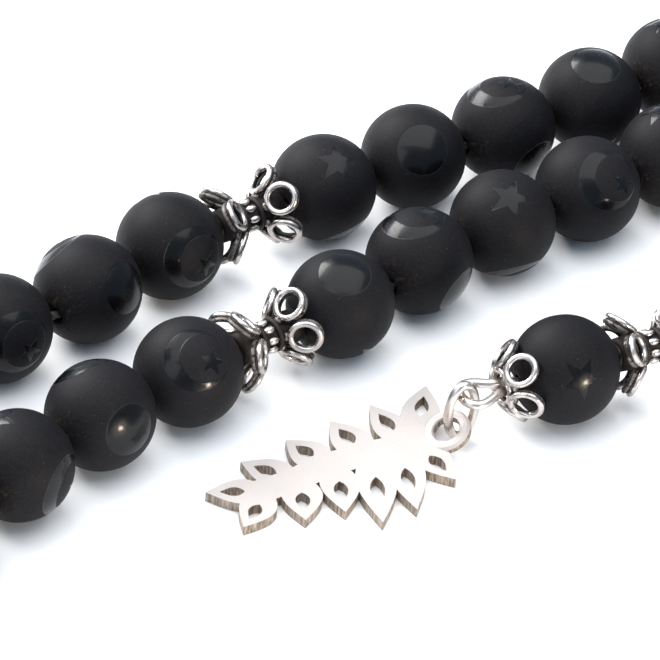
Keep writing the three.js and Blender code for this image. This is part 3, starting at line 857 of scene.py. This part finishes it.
# Leaves as (base, tip, width) and the stem's middle line, in millimetres from the lug's hole.
LEAVES = [
    ((-18.6, 0.2), (-23.8, 2.4), 3.3), ((-18.6, 0.2), (-23.0, -3.1), 3.3),
    ((-15.6, 0.2), (-19.0, 4.7), 3.7), ((-15.2, 0.8), (-17.6, -4.6), 3.7),
    ((-12.0, 0.8), (-13.9, 5.6), 3.8), ((-11.4, 1.0), (-13.9, -5.2), 3.6),
    ((-7.6, 1.2), (-11.6, -7.8), 3.7), ((-5.0, 1.0), (-8.0, -7.6), 3.5),
    ((-8.2, 0.4), (-9.0, 6.2), 3.8), ((-4.2, 0.2), (-4.6, 6.6), 3.4),
    ((-2.9, 1.2), (1.4, 6.8), 3.6), ((-3.6, 0.6), (-2.8, -5.6), 3.6),
]
STEM = [(-21.0, 0.3), (-16.5, 0.5), (-11.0, 1.1), (-5.5, 0.7), (-1.9, 0.0)]
STEM_HALF = 1.5


def pendant_face_material():
    """Satin metal with a fine grain and a few dull spots."""
    material, shader = new_material("satin_face", Metallic=0.35)
    place = object_place(material)
    grain = noise(material, place, 3800.0, 5.0, 0.75)
    clouds = noise(material, place, 300.0, 3.0)
    spots = noise(material, place, 1500.0, 3.0, 0.8).ramp(0.66, 0.78)
    colour = mix(material, clouds * 0.5 + grain * 0.5, (0.44, 0.40, 0.38), (0.57, 0.53, 0.505))
    colour = mix(material, spots * 0.5, colour, (0.28, 0.235, 0.205))
    rough = 0.50 + grain * 0.2
    feed(material, shader, Base_Color=colour, Roughness=rough,
         Normal=bump(material, grain, 0.5, 0.00008))
    return material


def pendant_edge_material():
    """Sawn metal, darker than the face and striated through its thickness."""
    material, shader = new_material("sawn_edge", Metallic=0.6)
    place = object_place(material)
    stretched = node(material, "ShaderNodeMapping", {}, {"Vector": place, "Scale": (1.0, 1.0, 0.12)})
    saw = noise(material, stretched, 4200.0, 3.0, 0.7)
    colour = mix(material, saw.ramp(0.35, 0.65), (0.16, 0.125, 0.095), (0.46, 0.38, 0.31))
    rough = 0.42 + saw * 0.25
    feed(material, shader, Base_Color=colour, Roughness=rough,
         Normal=bump(material, saw, 0.8, 0.00012))
    return material


def leaf_outline(base, tip, width, steps=14):
    """A pointed leaf from base to tip, as a closed outline in millimetres."""
    base, tip = Vector(base), Vector(tip)
    run = tip - base
    side = Vector((-run.y, run.x)).normalized()
    points = []
    for sign in (1, -1):
        for i in range(steps):
            t = i / steps if sign > 0 else 1 - i / steps
            points.append(base + run * t + side * sign * width / 2 * math.sin(math.pi * t**0.8))
    return points


def plate_mesh(outline, low, high):
    """A flat outline, in millimetres, given thickness."""
    mesh = bmesh.new()
    face = mesh.faces.new([mesh.verts.new((x * MM, y * MM, low)) for x, y in outline])
    made = bmesh.ops.extrude_face_region(mesh, geom=[face])
    lifted = [part for part in made["geom"] if isinstance(part, bmesh.types.BMVert)]
    bmesh.ops.translate(mesh, verts=lifted, vec=(0, 0, high - low))
    bmesh.ops.recalc_face_normals(mesh, faces=mesh.faces)
    return mesh


def holder_of(mesh, name):
    """A passing object that a boolean can work on."""
    data = bpy.data.meshes.new(name)
    mesh.to_mesh(data)
    mesh.free()
    made = bpy.data.objects.new(name, data)
    bpy.context.scene.collection.objects.link(made)
    return made


def combine(target, others, operation):
    """Joins other solids to a target, or cuts them from it."""
    for other in others:
        step = target.modifiers.new("step", "BOOLEAN")
        step.operation = operation
        step.solver = "EXACT"
        step.object = other
        depsgraph = bpy.context.evaluated_depsgraph_get()
        data = bpy.data.meshes.new_from_object(target.evaluated_get(depsgraph))
        target.modifiers.clear()
        target.data = data
        bpy.data.objects.remove(other)


stem_outline = []
for i in range(STEM_STEPS + 1):
    t = i / STEM_STEPS * (len(STEM) - 1)
    k = min(int(t), len(STEM) - 2)
    x = STEM[k][0] + (STEM[k + 1][0] - STEM[k][0]) * (t - k)
    y = STEM[k][1] + (STEM[k + 1][1] - STEM[k][1]) * (t - k)
    stem_outline.append((x, y + STEM_RIPPLE * math.sin(x * 1.3)))
upper = [(x, y + STEM_HALF) for x, y in stem_outline]
lower = [(x, y - STEM_HALF) for x, y in reversed(stem_outline)]
plate = holder_of(plate_mesh(upper + lower, 0, PLATE), "plate")
leaves = []
eyes = []
for base, tip, width in LEAVES:
    leaves.append(holder_of(plate_mesh(leaf_outline(base, tip, width), 0.0, PLATE), "leaf"))
    run = Vector(tip) - Vector(base)
    start, stop = Vector(base) + run * 0.38, Vector(base) + run * 0.78
    opening = leaf_outline(start, stop, width * 0.36, 8)
    eyes.append(holder_of(plate_mesh(opening, -PLATE, 2 * PLATE), "eye"))
combine(plate, leaves, "UNION")

tip_up = (Matrix.Translation((-LUG_OUTER, 0, 0)) @ Matrix.Rotation(-LUG_TILT, 4, "Y")
          @ Matrix.Translation((LUG_OUTER, 0, 0)))
hole = spun([(0.0, -3 * MM), (LUG_INNER, -3 * MM), (LUG_INNER, 4 * MM), (0.0, 4 * MM)], 48)
bmesh.ops.remove_doubles(hole, verts=hole.verts, dist=MERGE)
bmesh.ops.transform(hole, verts=hole.verts, matrix=tip_up)
combine(plate, eyes + [holder_of(hole, "hole")], "DIFFERENCE")
lug = spun([(LUG_INNER, 0.12 * MM), (LUG_INNER + 0.15 * MM, 0), (LUG_OUTER - 0.15 * MM, 0),
            (LUG_OUTER, 0.15 * MM), (LUG_OUTER, 0.62 * MM), (LUG_OUTER - 0.25 * MM, 0.86 * MM),
            (LUG_INNER + 0.45 * MM, 0.95 * MM), (LUG_INNER + 0.1 * MM, 0.86 * MM),
            (LUG_INNER, 0.7 * MM)], 56)
bmesh.ops.transform(lug, verts=lug.verts, matrix=tip_up)
combine(plate, [holder_of(lug, "lug")], "UNION")

mesh = bmesh.new()
mesh.from_mesh(plate.data)
bpy.data.objects.remove(plate)
bmesh.ops.remove_doubles(mesh, verts=mesh.verts, dist=WELD)
bmesh.ops.dissolve_limit(mesh, angle_limit=math.radians(1.5), verts=mesh.verts, edges=mesh.edges)
rims = [edge for edge in mesh.edges if len(edge.link_faces) == 2 and edge.calc_face_angle(0) > 1.0
        and max(face.normal.z for face in edge.link_faces) > 0.9]
bmesh.ops.bevel(mesh, geom=rims, affect="EDGES", offset=RIM_BEVEL, segments=2, profile=0.5,
                material=-1, clamp_overlap=True)
for face in mesh.faces:
    face.material_index = 0 if face.normal.z > 0.35 or face.normal.z < -0.5 else 1
lug_centre = tail_from - tail_axis * (COLLAR_TIP + EYE_LENGTH - EYE_OVERLAP + LUG_INNER)
heading = Matrix.Rotation(PENDANT_TURN, 4, "Z")
spot = Matrix.Translation((lug_centre.x, lug_centre.y, 0))
bmesh.ops.transform(mesh, verts=mesh.verts, matrix=spot @ heading)
bmesh.ops.triangulate(mesh, faces=mesh.faces)
piece("pendant_plate", mesh, [pendant_face_material(), pendant_edge_material()], "pendant_body",
      ("pendant",), smooth=False)


# --- Table, light and camera -------------------------------------------------------------
# A plain white table under broad soft light: one box overhead and a stronger one behind, a weak
# cool fill from the left, and a small warm window low in front. A long lens looks down at it.
TABLE_SIZE = 6.0
TABLE_DROP = 0.00002        # keeps the table top just clear of what rests on it
SOFT_WHITE = (1.0, 0.985, 0.97)
COOL_FILL = (0.95, 0.97, 1.0)
WARM_WINDOW = (1.0, 0.84, 0.66)
SKY = (0.66, 0.82, 1.0, 1.0)
SKY_STRENGTH = 0.60
bpy.ops.mesh.primitive_plane_add(size=TABLE_SIZE, location=(0, 0, -TABLE_DROP))
table = bpy.context.object
table.name = "table"
white, shader = new_material("white_table", Roughness=0.75, Specular_IOR_Level=0.13)
shader.inputs["Base Color"].default_value = (0.93, 0.935, 0.945, 1.0)
table.data.materials.append(white)


def softbox(name, location, size, power, colour, aim=(0, 0, 0), turned=0.0):
    """An oblong lamp aimed at a point and turned, in degrees, about the vertical."""
    light = bpy.data.lights.new(name, "AREA")
    light.shape = "RECTANGLE"
    light.size, light.size_y = size
    light.energy = power
    light.color = colour
    holder = bpy.data.objects.new(name, light)
    holder.location = location
    facing = (Vector(aim) - Vector(location)).to_track_quat("-Z", "Y")
    turn = Matrix.Rotation(math.radians(turned), 3, "Z").to_quaternion()
    holder.rotation_euler = (turn @ facing).to_euler()
    bpy.context.scene.collection.objects.link(holder)


softbox("overhead", (0.04, 0.05, 0.65), (1.0, 0.86), 7.0, SOFT_WHITE, (0.04, 0.0501, 0), -40)
softbox("back_light", (-0.15, 0.62, 0.42), (0.55, 0.35), 9.0, SOFT_WHITE)
softbox("left_fill", (-0.75, -0.10, 0.50), (0.5, 0.5), 1.5, COOL_FILL)
softbox("low_window", (0.036, -0.79, 0.10), (0.11, 0.09), 4.0, WARM_WINDOW)
world = bpy.data.worlds.new("studio")
world.use_nodes = True
world.node_tree.nodes["Background"].inputs[0].default_value = SKY
world.node_tree.nodes["Background"].inputs[1].default_value = SKY_STRENGTH
scene = bpy.context.scene
scene.world = world
scene.view_settings.view_transform = "Standard"

VIEW_HEADING = math.radians(40)
VIEW_HEIGHT = math.radians(39)
VIEW_ROLL = math.radians(5)
VIEW_DISTANCE = 0.4703
AIM_FROM_BEAD = Vector((-14.645, 15.807, 0)) * MM
SENSOR_WIDTH = 36.0
LENS_REACH = 260 / 33       # the lens's focal length, in sensor widths
aim = middle("tail_bead_1") + AIM_FROM_BEAD
back = Vector((-math.sin(VIEW_HEADING) * math.cos(VIEW_HEIGHT),
               -math.cos(VIEW_HEADING) * math.cos(VIEW_HEIGHT), math.sin(VIEW_HEIGHT)))
lens = bpy.data.cameras.new("camera")
lens.sensor_width = SENSOR_WIDTH
lens.lens = LENS_REACH * SENSOR_WIDTH
camera = bpy.data.objects.new("camera", lens)
camera.location = aim + back * VIEW_DISTANCE
camera.rotation_mode = "QUATERNION"
level = (-back).to_track_quat("-Z", "Y")
camera.rotation_quaternion = level @ Matrix.Rotation(VIEW_ROLL, 3, "Z").to_quaternion()
lens.clip_start = 0.01
lens.clip_end = 50.0
scene.collection.objects.link(camera)
scene.camera = camera
